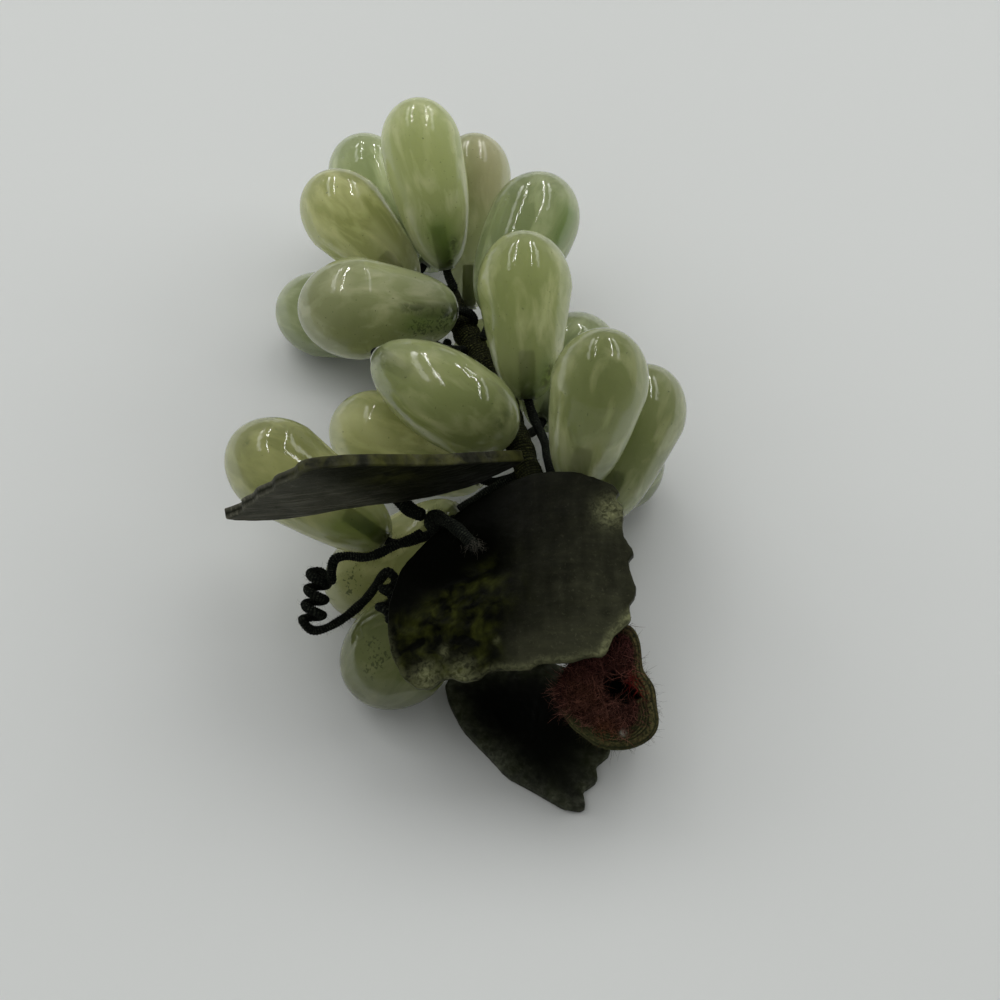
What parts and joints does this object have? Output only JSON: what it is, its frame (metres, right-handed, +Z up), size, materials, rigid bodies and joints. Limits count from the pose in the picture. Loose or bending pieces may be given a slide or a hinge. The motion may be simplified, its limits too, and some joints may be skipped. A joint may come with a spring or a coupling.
{
  "type": "jade grape bunch ornament",
  "caption": "Bunch of carved, polished jade grapes with dark jade leaves, a thread-wrapped wire stem, a curled tendril and a cut cane stub, lying on its side.",
  "frame": {"origin": "on the surface the bunch lies on, under the middle of its bounding box", "axes": "+Z up from that surface, +Y along the bunch from the cut cane towards the tip of the bunch, +X across it to the right when seen from the cane end"},
  "size_m": [0.0818, 0.1418, 0.0556],
  "materials": {
    "grape_jade": "polished, cloudy, slightly translucent",
    "grape_stalk_thread": "thread wound on wire",
    "green_thread": "thread wound on wire",
    "brown_thread": "thread wound on wire",
    "leaf_jade": "satin, worn",
    "cane_fibre": "matted fibre, rough"
  },
  "bodies": {
    "root": {"main_stem": "brown_thread", "side_branch": "green_thread", "cane_stub": "cane_fibre", "thread_knot": "green_thread", "leaf_top": "leaf_jade", "leaf_stalk_top": "green_thread", "leaf_upright": "leaf_jade", "leaf_stalk_upright": "green_thread", "leaf_low": "leaf_jade", "leaf_stalk_low": "green_thread", "tendril": "green_thread", "grape_1": "grape_jade", "grape_stalk_1": "grape_stalk_thread", "grape_2": "grape_jade", "grape_stalk_2": "grape_stalk_thread", "grape_3": "grape_jade", "grape_stalk_3": "grape_stalk_thread", "grape_4": "grape_jade", "grape_stalk_4": "grape_stalk_thread", "grape_5": "grape_jade", "grape_stalk_5": "grape_stalk_thread", "grape_6": "grape_jade", "grape_stalk_6": "grape_stalk_thread", "grape_7": "grape_jade", "grape_stalk_7": "grape_stalk_thread", "grape_8": "grape_jade", "grape_stalk_8": "grape_stalk_thread", "grape_9": "grape_jade", "grape_stalk_9": "grape_stalk_thread", "grape_10": "grape_jade", "grape_stalk_10": "grape_stalk_thread", "grape_11": "grape_jade", "grape_stalk_11": "grape_stalk_thread", "grape_12": "grape_jade", "grape_stalk_12": "grape_stalk_thread", "grape_13": "grape_jade", "grape_stalk_13": "grape_stalk_thread", "grape_14": "grape_jade", "grape_stalk_14": "grape_stalk_thread", "grape_15": "grape_jade", "grape_stalk_15": "grape_stalk_thread", "grape_16": "grape_jade", "grape_stalk_16": "grape_stalk_thread", "grape_17": "grape_jade", "grape_stalk_17": "grape_stalk_thread", "grape_18": "grape_jade", "grape_stalk_18": "grape_stalk_thread", "grape_19": "grape_jade", "grape_stalk_19": "grape_stalk_thread"}
  },
  "joints": []
}
